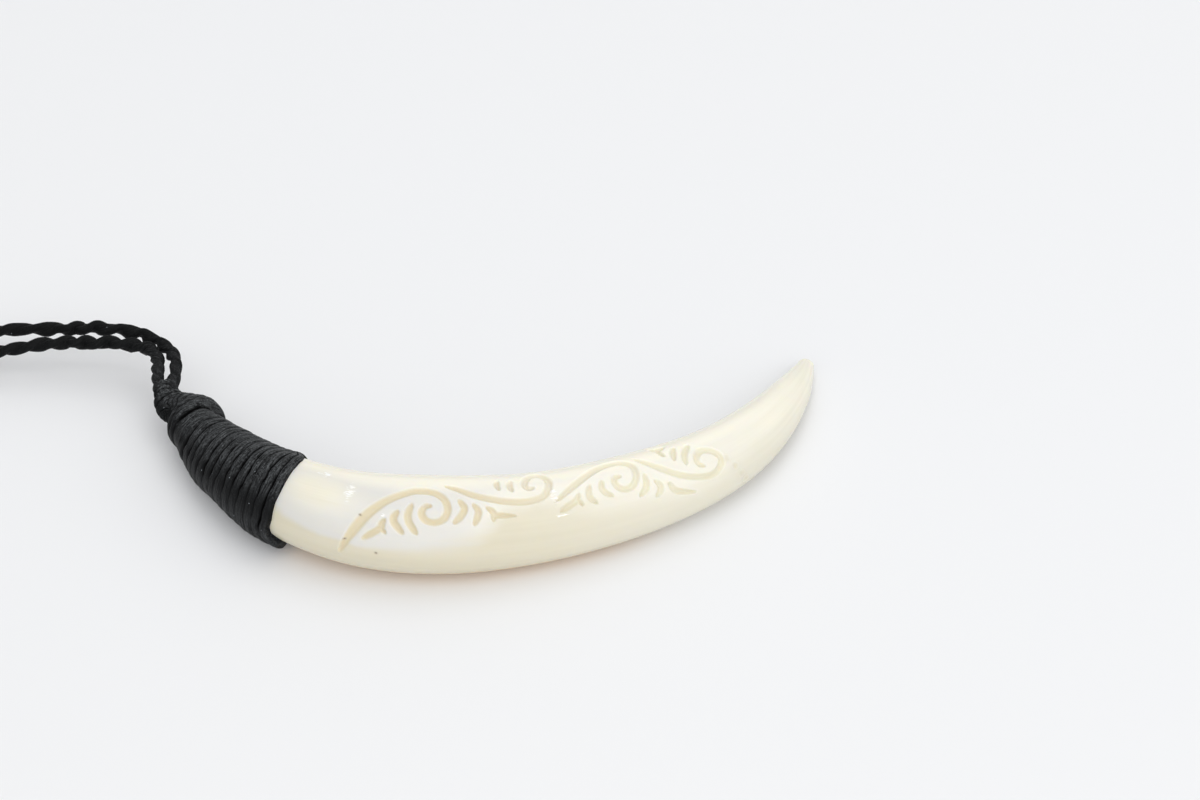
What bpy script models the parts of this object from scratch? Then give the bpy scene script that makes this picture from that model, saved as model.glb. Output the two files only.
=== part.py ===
"""A carved boar tusk on a lashed neck cord, lying on its ground-flat underside.

The tusk is one grown piece. Waxed thread is whipped round its root end, swells into
a knob and narrows to a neck that binds both ends of one twisted cord. The cord runs
off to one side, and its spare length is wound into a small coil, held by a tie.

Axes: +X runs from the lashing to the tip, +Z is up, and the tusk bows towards -Y.
The origin is under the middle of the tusk and its lashing, on the resting surface.
Lengths here are in millimetres and angles in degrees; the meshes are in metres.
"""
import math

import bmesh
import bpy
from mathutils import Vector

MM = 0.001
UP = Vector((0.0, 0.0, 1.0))

# Tusk: where its root end is, the bends of its centreline, and its section.
TUSK_LENGTH = 133.6
ROOT_AT = (-45.9, 3.1)
HEADINGS = [(0, -61), (1 / 6, -37), (1 / 3, -3), (1 / 2, 18), (2 / 3, 34), (5 / 6, 58), (1, 75)]
HALF_WIDTHS = [(0, 4.0), (0.1, 5.6), (0.2, 6.8), (0.35, 7.9), (0.5, 7.4), (0.65, 6.8),
               (0.8, 5.5), (0.92, 3.5), (1, 1.5)]
HEIGHT_SHARES = [(0, 1.03), (0.25, 1.0), (0.6, 0.92), (1, 0.8)]
LIFTS = [(0, 1.35), (0.18, 1.35), (0.3, 0.45), (0.42, 0.0), (0.72, 0.0), (1, 0.6)]
CORNER_HEIGHTS = [(0, 0.06), (1, 0.02)]
CORNER_TURN = 80
GROUND_OFF = 0.32
TIP_ROUND = 1.2
TIP_ANGLES = (30, 55, 75)
TUSK_SIDES = 24
TUSK_STATIONS = 44

# Carving: grooves in millimetres along the tusk (u) and round it from its face line (v).
FACE_LINE = 140
GROOVE_DEPTH = 0.7
GROOVE_WIDTH = 1.4
NOTCH_WIDTH = 1.1
GROOVE_FLOOR = 0.45
GROOVE_START = 0.45
GROOVE_GROWTH = 0.4
CUTTER_RISE = 0.6
CUTTER_STEP = 1.0
CURL_STEPS = 12
SCROLLS = [
    {"stem": [(35.7, 5.7), (37.8, 1.1), (39.4, -1.5), (41.4, -3.6), (43.5, -4.9), (45.3, -5.5)],
     "eye": (48.3, -2.3), "radii": (3.6, 0.9), "start": -110, "turn": 355, "ease": 0.7},
    {"stem": [(50.2, -6.6), (53.3, -5.8), (56.3, -4.4), (59.7, -3.3)],
     "eye": (64.4, -6.5), "radii": (3.8, 1.4), "start": 111, "turn": -330, "ease": 0.52},
    {"stem": [(66.9, -2.1), (70.4, -4.3), (73.3, -5.8), (76.0, -7.1)],
     "eye": (78.6, -3.9), "radii": (3.7, 0.9), "start": -89, "turn": 300, "ease": 1.6},
    {"stem": [(82.2, -6.7), (84.7, -4.1), (88.0, -1.0), (91.2, 0.9)],
     "eye": (93.1, -1.5), "radii": (3.0, 0.8), "start": 90, "turn": -345, "ease": 1.2},
]
NOTCHES = [
    [(39.0, 2.9), (40.1, 1.9), (41.1, 0.9), (41.7, -0.5)], [(41.5, 1.2), (42.1, 2.1)],
    [(43.4, -2.2), (43.0, -1.2), (43.1, -0.1), (44.2, 1.3)],
    [(45.4, -3.3), (44.8, -2.2), (45.0, -0.8), (46.1, 1.4)],
    [(52.5, -4.1), (53.2, -2.8), (52.7, -1.6), (51.6, -0.3)],
    [(54.6, -3.3), (55.2, -2.2), (55.0, -1.2), (54.5, 0.0)],
    [(56.7, -2.6), (57.4, -1.7), (57.1, -0.5)], [(58.3, -1.4), (60.6, -0.6)],
    [(59.3, -7.5), (59.0, -6.5), (59.2, -5.6)],
    [(61.3, -7.2), (60.8, -6.0), (61.0, -4.9)],
    [(68.2, -0.9), (69.6, -1.4), (70.7, -2.0), (71.2, -2.9)], [(71.1, -1.6), (71.3, -0.6)],
    [(72.8, -3.6), (72.2, -2.6), (72.3, -1.6), (73.0, -0.8)],
    [(75.5, -4.7), (75.0, -3.7), (75.0, -2.6), (75.6, -1.2)],
    [(82.2, -3.5), (82.2, -2.3), (81.6, -1.0), (80.4, 0.1)],
    [(83.8, -1.8), (84.3, -0.4), (84.1, 0.7), (83.2, 1.2)],
    [(85.6, -0.4), (86.3, 0.7), (87.8, 1.7), (89.5, 2.4)],
    [(86.1, -7.9), (87.0, -7.1), (88.5, -7.2)], [(86.9, -6.9), (87.2, -5.3)],
    [(89.8, -6.0), (88.7, -4.8), (88.2, -3.6)],
    [(92.4, -5.4), (90.8, -4.3), (90.0, -2.6)],
]

# Lashing: whipped thread over the root end, then a fat knob and a neck that thins to
# a collar round both cords. A neck row is x, y, z, half width, half height and heading.
RIM_AT = 25.3
THREAD = 0.62
GAP = 0.3
TURNS = 14
THREAD_VALLEY = 0.25
THREAD_PROFILE = [(0.0, THREAD - THREAD_VALLEY), (0.3, THREAD), (0.7, THREAD)]
LASHING_SIDES = 20
BORE_STATIONS = 10
NECK = [(-47.1, 5.1, 5.1, 4.8, 4.9, 116), (-48.2, 7.2, 5.2, 4.95, 4.9, 113),
        (-49.0, 9.3, 5.2, 4.0, 4.1, 117), (-50.7, 10.9, 5.2, 3.5, 3.2, 126),
        (-52.3, 12.0, 5.4, 3.0, 2.3, 128), (-53.4, 12.9, 6.2, 2.4, 1.8, 115),
        (-53.8, 13.9, 6.8, 2.1, 1.5, 98), (-53.9, 15.0, 7.1, 2.1, 1.5, 90)]
NECK_STEP = 0.9

# Neck cord: both strands leave the neck and lie down into the coil.
CORD = 2.2
CORD_STEP = 2.5 * CORD
CORD_ROUNDING = 2
FAR_ROUTE = [(-52.8, 15.5, 7.4), (-52.6, 18.4, 7.7), (-53.2, 21.9, 7.9), (-55.4, 25.1, 7.9),
             (-58.8, 27.9, 7.8), (-62.3, 29.6, 7.7), (-66.9, 31.0, 7.5), (-71.0, 31.4, 7.2),
             (-76.0, 31.6, 6.8), (-80.5, 32.1, 6.3), (-85.1, 32.5, 5.6), (-90.0, 32.0, 4.2),
             (-95.0, 31.0, 2.6), (-99.4, 30.3, 1.5)]
NEAR_ROUTE = [(-55.4, 15.5, 7.4), (-55.8, 18.4, 7.7), (-56.5, 22.3, 7.9), (-58.8, 24.8, 7.9),
              (-61.7, 25.5, 7.8), (-66.3, 26.1, 7.6), (-70.7, 26.5, 7.3), (-75.2, 26.9, 6.9),
              (-79.7, 26.8, 6.4), (-84.1, 26.5, 5.7), (-88.5, 26.6, 4.6), (-92.5, 27.0, 3.1),
              (-96.0, 27.6, 1.8)]
COIL_AT = (-108.0, 15.0)
COIL_RADIUS = 11.5
COIL_COLUMNS = 4
COIL_LAYERS = 2
TIE_ANGLE = 200
TIE_WIDTH = 2.4
TIE_THICKNESS = 0.7
COIL_STEP = 10


def clear_scene():
    for obj in list(bpy.data.objects):
        bpy.data.objects.remove(obj, do_unlink=True)


def make_material(name, colour, roughness):
    material = bpy.data.materials.new(name)
    material.use_nodes = True
    shader = material.node_tree.nodes["Principled BSDF"]
    shader.inputs["Base Color"].default_value = (*colour, 1.0)
    shader.inputs["Roughness"].default_value = roughness
    shader.inputs["Metallic"].default_value = 0.0
    return material


def smooth_value(table, at):
    """The height at `at` of a smooth curve through the table's (place, height) pairs."""
    last = len(table) - 1
    i = 0
    while i < last - 1 and at > table[i + 1][0]:
        i += 1
    slopes = []
    for j in (i, i + 1):
        before = table[max(j - 1, 0)]
        after = table[min(j + 1, last)]
        slopes.append((after[1] - before[1]) / (after[0] - before[0]))
    step = table[i + 1][0] - table[i][0]
    t = min(max((at - table[i][0]) / step, 0.0), 1.0)
    ends = (2 * t ** 3 - 3 * t ** 2 + 1) * table[i][1] + (3 * t ** 2 - 2 * t ** 3) * table[i + 1][1]
    return ends + step * ((t ** 3 - 2 * t ** 2 + t) * slopes[0] + (t ** 3 - t ** 2) * slopes[1])


def smooth_points(points, spacing):
    """Points about `spacing` apart on a smooth curve through the given ones."""
    points = [Vector(p) for p in points]
    places = [0.0]
    for a, b in zip(points, points[1:]):
        places.append(places[-1] + (b - a).length)
    count = max(round(places[-1] / spacing), 2)
    tables = [[(place, p[k]) for place, p in zip(places, points)] for k in range(len(points[0]))]
    stops = [places[-1] * i / count for i in range(count + 1)]
    return [Vector([smooth_value(table, stop) for table in tables]) for stop in stops]


def loft(name, bodies, material=None):
    """One object of closed bodies, each through rings of points and capped at its ends."""
    places = []
    faces = []
    for rings in bodies:
        size = len(rings[0])
        first = len(places)
        places.extend(p * MM for ring in rings for p in ring)
        for i in range(len(rings) - 1):
            a = first + i * size
            b = a + size
            for j in range(size):
                k = (j + 1) % size
                faces.append((a + j, a + k, b + k, b + j))
        faces.append(tuple(first + j for j in reversed(range(size))))
        faces.append(tuple(len(places) - size + j for j in range(size)))
    return make_object(name, places, faces, material)


def ring_body(name, rings, material):
    """One closed body through rings of points that run round and meet their start."""
    size = len(rings[0])
    count = len(rings)
    faces = []
    for i in range(count):
        for j in range(size):
            a = i * size
            b = (i + 1) % count * size
            k = (j + 1) % size
            faces.append((a + j, a + k, b + k, b + j))
    return make_object(name, [p * MM for ring in rings for p in ring], faces, material)


def make_object(name, places, faces, material):
    mesh = bpy.data.meshes.new(name)
    mesh.from_pydata(places, [], faces)
    shape = bmesh.new()
    shape.from_mesh(mesh)
    bmesh.ops.recalc_face_normals(shape, faces=shape.faces)
    shape.to_mesh(mesh)
    shape.free()
    mesh.shade_smooth()
    mesh.set_sharp_from_angle(angle=math.radians(50))
    if material:
        mesh.materials.append(material)
    obj = bpy.data.objects.new(name, mesh)
    bpy.context.collection.objects.link(obj)
    return obj


# ---- the tusk's form ----

def trace_centreline(steps=400):
    """(x, y, heading in radians) at even steps along the tusk, from root to tip."""
    x, y = ROOT_AT
    line = []
    step = TUSK_LENGTH / steps
    for i in range(steps + 1):
        heading = math.radians(smooth_value(HEADINGS, i / steps))
        line.append((x, y, heading))
        middle = math.radians(smooth_value(HEADINGS, (i + 0.5) / steps))
        x += step * math.cos(middle)
        y += step * math.sin(middle)
    return line


CENTRELINE = trace_centreline()


def centre_at(u):
    """Plan position and heading of the centreline, u millimetres from the root end."""
    place = min(max(u / TUSK_LENGTH, 0.0), 1.0) * (len(CENTRELINE) - 1)
    i = min(int(place), len(CENTRELINE) - 2)
    t = place - i
    return [a + (b - a) * t for a, b in zip(CENTRELINE[i], CENTRELINE[i + 1])]


def radii_at(u):
    share = u / TUSK_LENGTH
    width = smooth_value(HALF_WIDTHS, share)
    return width, width * smooth_value(HEIGHT_SHARES, share)


def corner(u, angle):
    """The section's radius over an ellipse's, with its three soft corners."""
    height = smooth_value(CORNER_HEIGHTS, u / TUSK_LENGTH)
    return 1 + height * math.cos(3 * math.radians(angle - CORNER_TURN))


def height_at(u):
    """Height of the centreline over the surface that the tusk rests on."""
    underside = radii_at(u)[1] * corner(u, 270)
    return underside + smooth_value(LIFTS, u / TUSK_LENGTH) - GROUND_OFF


def tusk_point(u, angle, proud=0.0, shrink=1.0):
    """A point `proud` off the tusk's skin; angle 0 faces its inner bend, 90 is up."""
    x, y, heading = centre_at(u)
    inward = Vector((-math.sin(heading), math.cos(heading), 0.0))
    width, height = radii_at(u)
    round_off = corner(u, angle) * shrink
    across = (width * round_off + proud) * math.cos(math.radians(angle))
    rise = (height * round_off + proud) * math.sin(math.radians(angle))
    return Vector((x, y, height_at(u))) + across * inward + rise * UP


def tusk_ring(u, sides, proud=0.0, shrink=1.0, forward=0.0):
    _, _, heading = centre_at(u)
    shift = forward * Vector((math.cos(heading), math.sin(heading), 0.0))
    ring = [tusk_point(u, 360 * j / sides, proud, shrink) + shift for j in range(sides)]
    for p in ring:
        p.z = max(p.z, 0.0)
    return ring


def make_tusk(material):
    stops = [TUSK_LENGTH * i / TUSK_STATIONS for i in range(TUSK_STATIONS + 1)]
    rings = [tusk_ring(stop, TUSK_SIDES) for stop in stops]
    for angle in TIP_ANGLES:
        shrink = math.cos(math.radians(angle))
        forward = TIP_ROUND * math.sin(math.radians(angle))
        rings.append(tusk_ring(TUSK_LENGTH, TUSK_SIDES, shrink=shrink, forward=forward))
    return loft("tusk", [rings], material)


# ---- the carving ----

def skin_point(u, v, proud):
    """A point over the carved face: v runs round the tusk from its face line."""
    width, height = radii_at(u)
    angle = FACE_LINE + math.degrees(v / ((width + height) / 2))
    return tusk_point(u, angle, proud)


def scroll_path(stem, eye, radii, start, turn, ease):
    """A scroll's groove: its stem, then a curl that closes in on its eye."""
    path = list(stem)
    for i in range(CURL_STEPS + 1):
        t = i / CURL_STEPS
        radius = radii[0] + (radii[1] - radii[0]) * t ** ease
        angle = math.radians(start + turn * t)
        path.append((eye[0] + radius * math.cos(angle), eye[1] + radius * math.sin(angle)))
    return smooth_points([(u, v, 0.0) for u, v in path], CUTTER_STEP)


def gouge(path, width):
    """The rings of a gouge stroke: a groove with sloped walls that tapers to its ends."""
    floor = GROOVE_FLOOR
    profile = [(-1.0, 1.0), (1.0, 1.0), (1.0, 0.0), (floor, -1.0), (-floor, -1.0), (-1.0, 0.0)]
    rings = []
    last = len(path) - 1
    for i, place in enumerate(path):
        ahead = path[min(i + 1, last)] - path[max(i - 1, 0)]
        aside = Vector((-ahead.y, ahead.x)).normalized()
        taper = min(1.0, GROOVE_START + GROOVE_GROWTH * min(i, last - i))
        ring = []
        for across, depth in profile:
            reach = across * width / 2 * taper
            proud = depth * (CUTTER_RISE if depth > 0 else GROOVE_DEPTH * taper)
            ring.append(skin_point(place.x + aside.x * reach, place.y + aside.y * reach, proud))
        rings.append(ring)
    return rings


def carve(tusk):
    strokes = [gouge(scroll_path(**scroll), GROOVE_WIDTH) for scroll in SCROLLS]
    for notch in NOTCHES:
        path = smooth_points([(u, v, 0.0) for u, v in notch], CUTTER_STEP)
        strokes.append(gouge(path, NOTCH_WIDTH))
    cutter = loft("carving_cutter", strokes)
    cutter.hide_render = True
    cutter.display_type = "WIRE"
    cut = tusk.modifiers.new("carving", "BOOLEAN")
    cut.operation = "DIFFERENCE"
    cut.solver = "EXACT"
    cut.use_self = True
    cut.object = cutter


# ---- the lashing ----

def neck_rings(sides):
    """Rings round the knob and the neck, from the tusk's root end outwards."""
    x, y, heading = centre_at(0.0)
    width, height = radii_at(0.0)
    wrap = GAP + THREAD
    rows = [(x, y, height_at(0.0), width + wrap, height + wrap, heading + math.pi)]
    rows += [(*row[:5], math.radians(row[5])) for row in NECK]
    rings = []
    for x, y, z, half_width, half_height, heading in smooth_points(rows, NECK_STEP)[1:]:
        inward = Vector((math.sin(heading), -math.cos(heading), 0.0))
        ring = []
        for j in range(sides):
            angle = 2 * math.pi * j / sides
            rise = half_height * math.sin(angle)
            ring.append(Vector((x, y, max(z + rise, 0.0))) + half_width * math.cos(angle) * inward)
        rings.append(ring)
    return rings


def make_lashing(material):
    """One hollow body: up the bore to the rim, back over the turns, and out to the neck."""
    pitch = RIM_AT / TURNS
    rings = [tusk_ring(0.0, LASHING_SIDES, proud=GAP, forward=-GAP)]
    for i in range(1, BORE_STATIONS + 1):
        rings.append(tusk_ring(RIM_AT * i / BORE_STATIONS, LASHING_SIDES, proud=GAP))
    for turn in range(TURNS):
        for part, height in THREAD_PROFILE:
            place = RIM_AT - pitch * (turn + part)
            rings.append(tusk_ring(place, LASHING_SIDES, proud=GAP + height))
    rings += neck_rings(LASHING_SIDES)
    return loft("lashing", [rings], material)


# ---- the neck cord ----

def make_strand(name, route, material):
    curve = bpy.data.curves.new(name, "CURVE")
    curve.dimensions = "3D"
    curve.bevel_depth = CORD / 2 * MM
    curve.bevel_resolution = CORD_ROUNDING
    curve.use_fill_caps = True
    stops = smooth_points(route, CORD_STEP)
    spline = curve.splines.new("POLY")
    spline.points.add(len(stops) - 1)
    for point, stop in zip(spline.points, stops):
        point.co = (*(stop * MM), 1.0)
    curve.materials.append(material)
    obj = bpy.data.objects.new(name, curve)
    bpy.context.collection.objects.link(obj)
    return obj


def coil_outline(inset):
    """The wound bundle's section as (out from the middle turn, height) points."""
    half_width = COIL_COLUMNS * CORD / 2 - inset
    half_height = COIL_LAYERS * CORD / 2 - inset
    bevel = CORD / 2
    corners = [(1, -1), (1, 1), (-1, 1), (-1, -1)]
    outline = []
    for i, (out, up) in enumerate(corners):
        side = (out * half_width, up * (half_height - bevel))
        face = (out * (half_width - bevel), up * half_height)
        outline += [side, face] if i % 2 else [face, side]
    middle = COIL_LAYERS * CORD / 2
    return [(out, middle + up) for out, up in outline]


def coil_point(angle, out, height):
    radius = COIL_RADIUS + out
    turn = math.radians(angle)
    return Vector((COIL_AT[0] + radius * math.cos(turn), COIL_AT[1] + radius * math.sin(turn), height))


def make_coil(material):
    rings = []
    pinch = TIE_THICKNESS + GAP
    for step in range(0, 360, COIL_STEP):
        away = min(step, 360 - step)
        inset = pinch if away <= COIL_STEP else 0.0
        outline = coil_outline(inset)
        rings.append([coil_point(TIE_ANGLE + step, out, height) for out, height in outline])
    return ring_body("neck_cord_coil", rings, material)


def make_tie(material):
    """A flat band of thread round the pinched stretch of the coil."""
    inner = coil_outline(TIE_THICKNESS)
    outer = coil_outline(0.0)
    along = Vector((-math.sin(math.radians(TIE_ANGLE)), math.cos(math.radians(TIE_ANGLE)), 0.0))
    half = TIE_WIDTH / 2 * along
    rings = []
    for inside, outside in zip(inner, outer):
        near = coil_point(TIE_ANGLE, *inside)
        far = coil_point(TIE_ANGLE, *outside)
        rings.append([near - half, far - half, far + half, near + half])
    return ring_body("coil_tie", rings, material)


def main():
    clear_scene()
    ivory = make_material("polished_tusk", (0.86, 0.83, 0.72), 0.32)
    thread = make_material("waxed_thread", (0.012, 0.012, 0.013), 0.5)
    twist = make_material("twisted_cord", (0.014, 0.014, 0.015), 0.6)
    carve(make_tusk(ivory))
    make_lashing(thread)
    make_strand("neck_cord_far_strand", FAR_ROUTE, twist)
    make_strand("neck_cord_near_strand", NEAR_ROUTE, twist)
    make_coil(twist)
    make_tie(thread)


main()
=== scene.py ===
import math

import bpy
import numpy as np
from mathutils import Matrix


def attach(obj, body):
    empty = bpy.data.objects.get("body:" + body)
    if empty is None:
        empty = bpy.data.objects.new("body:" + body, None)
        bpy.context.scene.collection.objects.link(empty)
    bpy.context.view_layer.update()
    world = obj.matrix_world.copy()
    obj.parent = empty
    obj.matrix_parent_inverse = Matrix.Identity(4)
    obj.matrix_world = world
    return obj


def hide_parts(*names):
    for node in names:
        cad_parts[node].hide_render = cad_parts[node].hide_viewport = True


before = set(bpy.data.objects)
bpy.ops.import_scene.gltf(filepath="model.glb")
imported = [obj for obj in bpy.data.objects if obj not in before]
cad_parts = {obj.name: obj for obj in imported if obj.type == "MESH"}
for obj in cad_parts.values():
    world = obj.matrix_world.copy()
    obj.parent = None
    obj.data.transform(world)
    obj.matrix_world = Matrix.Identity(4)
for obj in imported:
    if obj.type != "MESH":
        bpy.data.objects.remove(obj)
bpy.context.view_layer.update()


# ---- The table top, the light and the camera ----
# The pendant lies on a matt white sheet in a white room, whose walls fill the shadows. Four
# broad soft lights stand above it, behind it, in front and at its right. The camera looks down.

# The sheet's two tints, half its width, and how far under the pendant its top lies, and how
# bright the room is low down and overhead.
PAPER = (0.785, 0.793, 0.812)
PAPER_MOTTLE = (0.795, 0.797, 0.806)
PAPER_HALF = 2.5
PAPER_AT = -0.0001
ROOM_LOW, ROOM_HIGH = 0.38, 0.48


def node(tree, kind, values=None, **settings):
    """A new node with its settings, and with values or links on its inputs."""
    made = tree.nodes.new(kind)
    for setting, value in settings.items():
        setattr(made, setting, value)
    for socket, value in (values or {}).items():
        if isinstance(value, bpy.types.NodeSocket):
            tree.links.new(value, made.inputs[socket])
        else:
            made.inputs[socket].default_value = value
    return made


def noise(tree, place, scale, detail, roughness=0.5):
    """Cloudy noise at a place, by its closeness per metre and how fine and how rough it is."""
    return node(tree, "ShaderNodeTexNoise", {"Vector": place, "Scale": scale, "Detail": detail,
                                             "Roughness": roughness}).outputs["Fac"]


def blend(tree, share, first, second):
    """One colour over another by a mask; each is a link or a plain colour."""
    first, second = ((*c, 1.0) if isinstance(c, tuple) else c for c in (first, second))
    return node(tree, "ShaderNodeMix", {"Factor": share, "A": first, "B": second},
                data_type="RGBA").outputs["Result"]


def spread(tree, value, low, high, least=0.0, most=1.0, **settings):
    """A value that runs from low to high, spread over least to most."""
    return node(tree, "ShaderNodeMapRange", {
        "Value": value, "From Min": low, "From Max": high, "To Min": least, "To Max": most},
        **settings).outputs["Result"]


def new_finish(name, constants):
    """A material with plain numbers on its shader, and its node tree and shader."""
    material = bpy.data.materials.new(name)
    material.use_nodes = True
    tree = material.node_tree
    shader = tree.nodes["Principled BSDF"]
    for socket, value in constants.items():
        shader.inputs[socket].default_value = value
    return material, tree, shader


def add_piece(name, places, faces, material, uvs=None, marks=None):
    """A smooth-shaded object from points in metres, with UVs given for each face corner, and
    marks: named values for each point, which its material reads."""
    mesh = bpy.data.meshes.new(name)
    mesh.from_pydata(np.asarray(places).tolist(), [], faces)
    if uvs is not None:
        mesh.uv_layers.new(name="lay").uv.foreach_set("vector", np.asarray(uvs, np.float32).ravel())
    for mark, values in (marks or {}).items():
        mesh.attributes.new(mark, "FLOAT", "POINT").data.foreach_set(
            "value", np.asarray(values, np.float32).ravel())
    mesh.shade_smooth()
    mesh.materials.append(material)
    piece = bpy.data.objects.new(name, mesh)
    bpy.context.collection.objects.link(piece)
    return piece


# The sheet glows faintly. This is painted light, which lightens the shadows on it.
paper, tree, shader = new_finish("matt_paper", {
    "Roughness": 0.75, "Specular IOR Level": 0.2, "Emission Color": (0.985, 0.99, 1.0, 1.0),
    "Emission Strength": 0.055})
mottle = noise(tree, node(tree, "ShaderNodeTexCoord").outputs["Object"], 3.0, 2.0)
tree.links.new(blend(tree, mottle, PAPER, PAPER_MOTTLE), shader.inputs["Base Color"])
table = add_piece("table_top", [(x * PAPER_HALF, y * PAPER_HALF, PAPER_AT)
                                for x, y in ((-1, -1), (1, -1), (1, 1), (-1, 1))],
                  [(0, 1, 2, 3)], paper)

# Each light looks at the pendant: its place, its size in metres, its power and its colour.
for name, at, size, power, colour in (
        ("overhead_light", (0.15, 0.30, 1.15), 1.0, 2.8, (1.0, 0.995, 0.98)),
        ("back_light", (0.05, 0.90, 0.70), 1.2, 2.2, (1.0, 0.995, 0.98)),
        ("front_light", (-0.10, -1.08, 0.95), 2.4, 15.0, (1.0, 0.995, 0.985)),
        ("side_light", (1.05, -0.55, 0.60), 1.4, 5.0, (1.0, 0.995, 0.985))):
    lamp = bpy.data.lights.new(name, "AREA")
    lamp.shape = "DISK"
    lamp.size = size
    lamp.energy = power
    lamp.color = colour
    holder = bpy.data.objects.new(name, lamp)
    holder.location = at
    x, y, z = at
    holder.rotation_euler = (math.atan2(math.hypot(x, y), z), 0.0, math.atan2(x, -y))
    bpy.context.collection.objects.link(holder)

world = bpy.data.worlds.new("white_room")
world.use_nodes = True
tree = world.node_tree
toward = node(tree, "ShaderNodeSeparateXYZ",
              {"Vector": node(tree, "ShaderNodeTexCoord").outputs["Generated"]})
rise = spread(tree, toward.outputs["Z"], 0.0, 1.0, ROOM_LOW, ROOM_HIGH)
tree.nodes["Background"].inputs["Color"].default_value = (0.97, 0.985, 1.0, 1.0)
tree.links.new(rise, tree.nodes["Background"].inputs["Strength"])
bpy.context.scene.world = world
bpy.context.scene.view_settings.view_transform = "Standard"

lens = bpy.data.cameras.new("camera")
lens.lens = 85.0
lens.sensor_width = 36.0
lens.clip_start = 0.01
lens.clip_end = 20.0
camera = bpy.data.objects.new("camera", lens)
camera.location = (0.0194, -0.3638, 0.3000)
camera.rotation_euler = (math.radians(52.0), 0.0, 0.0)
bpy.context.collection.objects.link(camera)
bpy.context.scene.camera = camera


# ---- The neck cord ----
# One limp black cord of two waxed yarns twisted together. Both of its ends are bound into
# the lashing's neck. Its spare length is wound, doubled, into a small coil of two layers.

MM = 0.001
CORD = 0.0022
# Where the cord leaves the lashing, and its two strands' routes from there to the coil.
CORD_EXIT = (-0.0528, 0.0155, 0.0074)
FAR_ROUTE = [CORD_EXIT, (-0.0526, 0.0184, 0.0077), (-0.0532, 0.0219, 0.0079),
             (-0.0554, 0.0251, 0.0079), (-0.0588, 0.0279, 0.0078), (-0.0623, 0.0296, 0.0077),
             (-0.0669, 0.0310, 0.0075), (-0.0710, 0.0314, 0.0072), (-0.0760, 0.0316, 0.0068),
             (-0.0805, 0.0321, 0.0063), (-0.0851, 0.0325, 0.0056), (-0.0900, 0.0320, 0.0042),
             (-0.0950, 0.0310, 0.0026), (-0.0994, 0.0303, 0.0015)]
NEAR_ROUTE = [(-0.0554, 0.0155, 0.0074), (-0.0558, 0.0184, 0.0077), (-0.0565, 0.0223, 0.0079),
              (-0.0588, 0.0248, 0.0079), (-0.0617, 0.0255, 0.0078), (-0.0663, 0.0261, 0.0076),
              (-0.0707, 0.0265, 0.0073), (-0.0752, 0.0269, 0.0069), (-0.0797, 0.0268, 0.0064),
              (-0.0841, 0.0265, 0.0057), (-0.0885, 0.0266, 0.0046), (-0.0925, 0.0270, 0.0031),
              (-0.0960, 0.0276, 0.0018)]
# Where each strand ends, inside the collar.
FAR_ROOT = (-0.0531, 0.0135, 0.0070)
NEAR_ROOT = (-0.0548, 0.0135, 0.0070)
# The coil's middle and radius, the radius of its closing bend, and, in degrees, where its
# first turn starts, where each turn moves over or up, and where the bend begins and ends.
COIL_AT = (-0.108, 0.015)
COIL_RADIUS = 0.0115
BIGHT_RADIUS = 0.0044
COIL_FROM, COIL_INWARD, COIL_UP, COIL_OUTWARD = 90.0, (390, 450), (690, 750), (990, 1050)
BIGHT_FROM, BIGHT_OVER, BIGHT_TO = 1330, 1378, 1390
# The tie's place on the coil in degrees, how far it reaches, and how it pinches and lifts it.
TIE_ANGLE = 200
TIE_REACH = 15.0
TIE_PINCH = 0.16
TIE_LIFT = 0.0004
# The cord's mean radius, how far its two yarns stand out from it, how deep and how wide (in
# radians) the cleft between them is, and the length of a full twist.
CORD_MIDDLE = 0.00104
CORD_SWELL = 0.00021
YARN_GAP = 0.00010
YARN_CLEFT = 0.3
TWIST = 0.0088
# How far each strand is twisted, in half turns, at millimetres from its end in the collar.
FAR_TWIST = [(0.0, -0.8), (2.6, -0.04), (6.2, 1.04), (9.4, 2.18), (12.4, 3.23), (16.3, 4.26),
             (20.5, 5.28), (25.5, 6.29), (30.3, 7.29), (35.1, 8.29), (40.7, 9.29), (45.8, 10.29)]
NEAR_TWIST = [(0.0, 0.2), (0.8, -0.1), (3.2, -1.04), (5.8, -2.05), (8.3, -3.11), (11.5, -4.24),
              (14.8, -5.29), (18.9, -6.29), (22.9, -7.29), (26.7, -8.29), (31.1, -9.29),
              (35.0, -10.29), (39.0, -11.29)]
# How far each strand bows away from the other one, both in millimetres; less than none where
# they touch.
FAR_BOWS = [(0.0, 0.0), (12.6, -0.1), (14.4, 0.2), (16.3, -0.1), (18.0, 0.5), (20.2, -0.05),
            (22.6, 0.25), (24.8, -0.5), (26.8, 0.1), (28.8, -0.5), (30.2, 0.0), (31.6, -0.65),
            (33.6, 0.1), (35.6, -0.2), (38.0, 0.0), (46.0, 0.0)]
NEAR_BOWS = [(0.0, 0.0), (8.3, -0.1), (10.0, 0.2), (11.5, -0.1), (13.0, 0.4), (14.8, -0.1),
             (17.0, 0.0), (19.0, -0.7), (21.2, 0.1), (23.0, -0.5), (24.4, 0.0), (26.1, -0.65),
             (28.0, 0.0), (30.0, -0.3), (33.0, 0.0), (39.0, 0.0)]
# The mesh has this many points round the cord, and rings this far apart; the routes are
# smoothed at wider steps first.
CORD_SIDES = 24
CORD_STEP = 0.00035
ROUTE_STEP = 0.002


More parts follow.
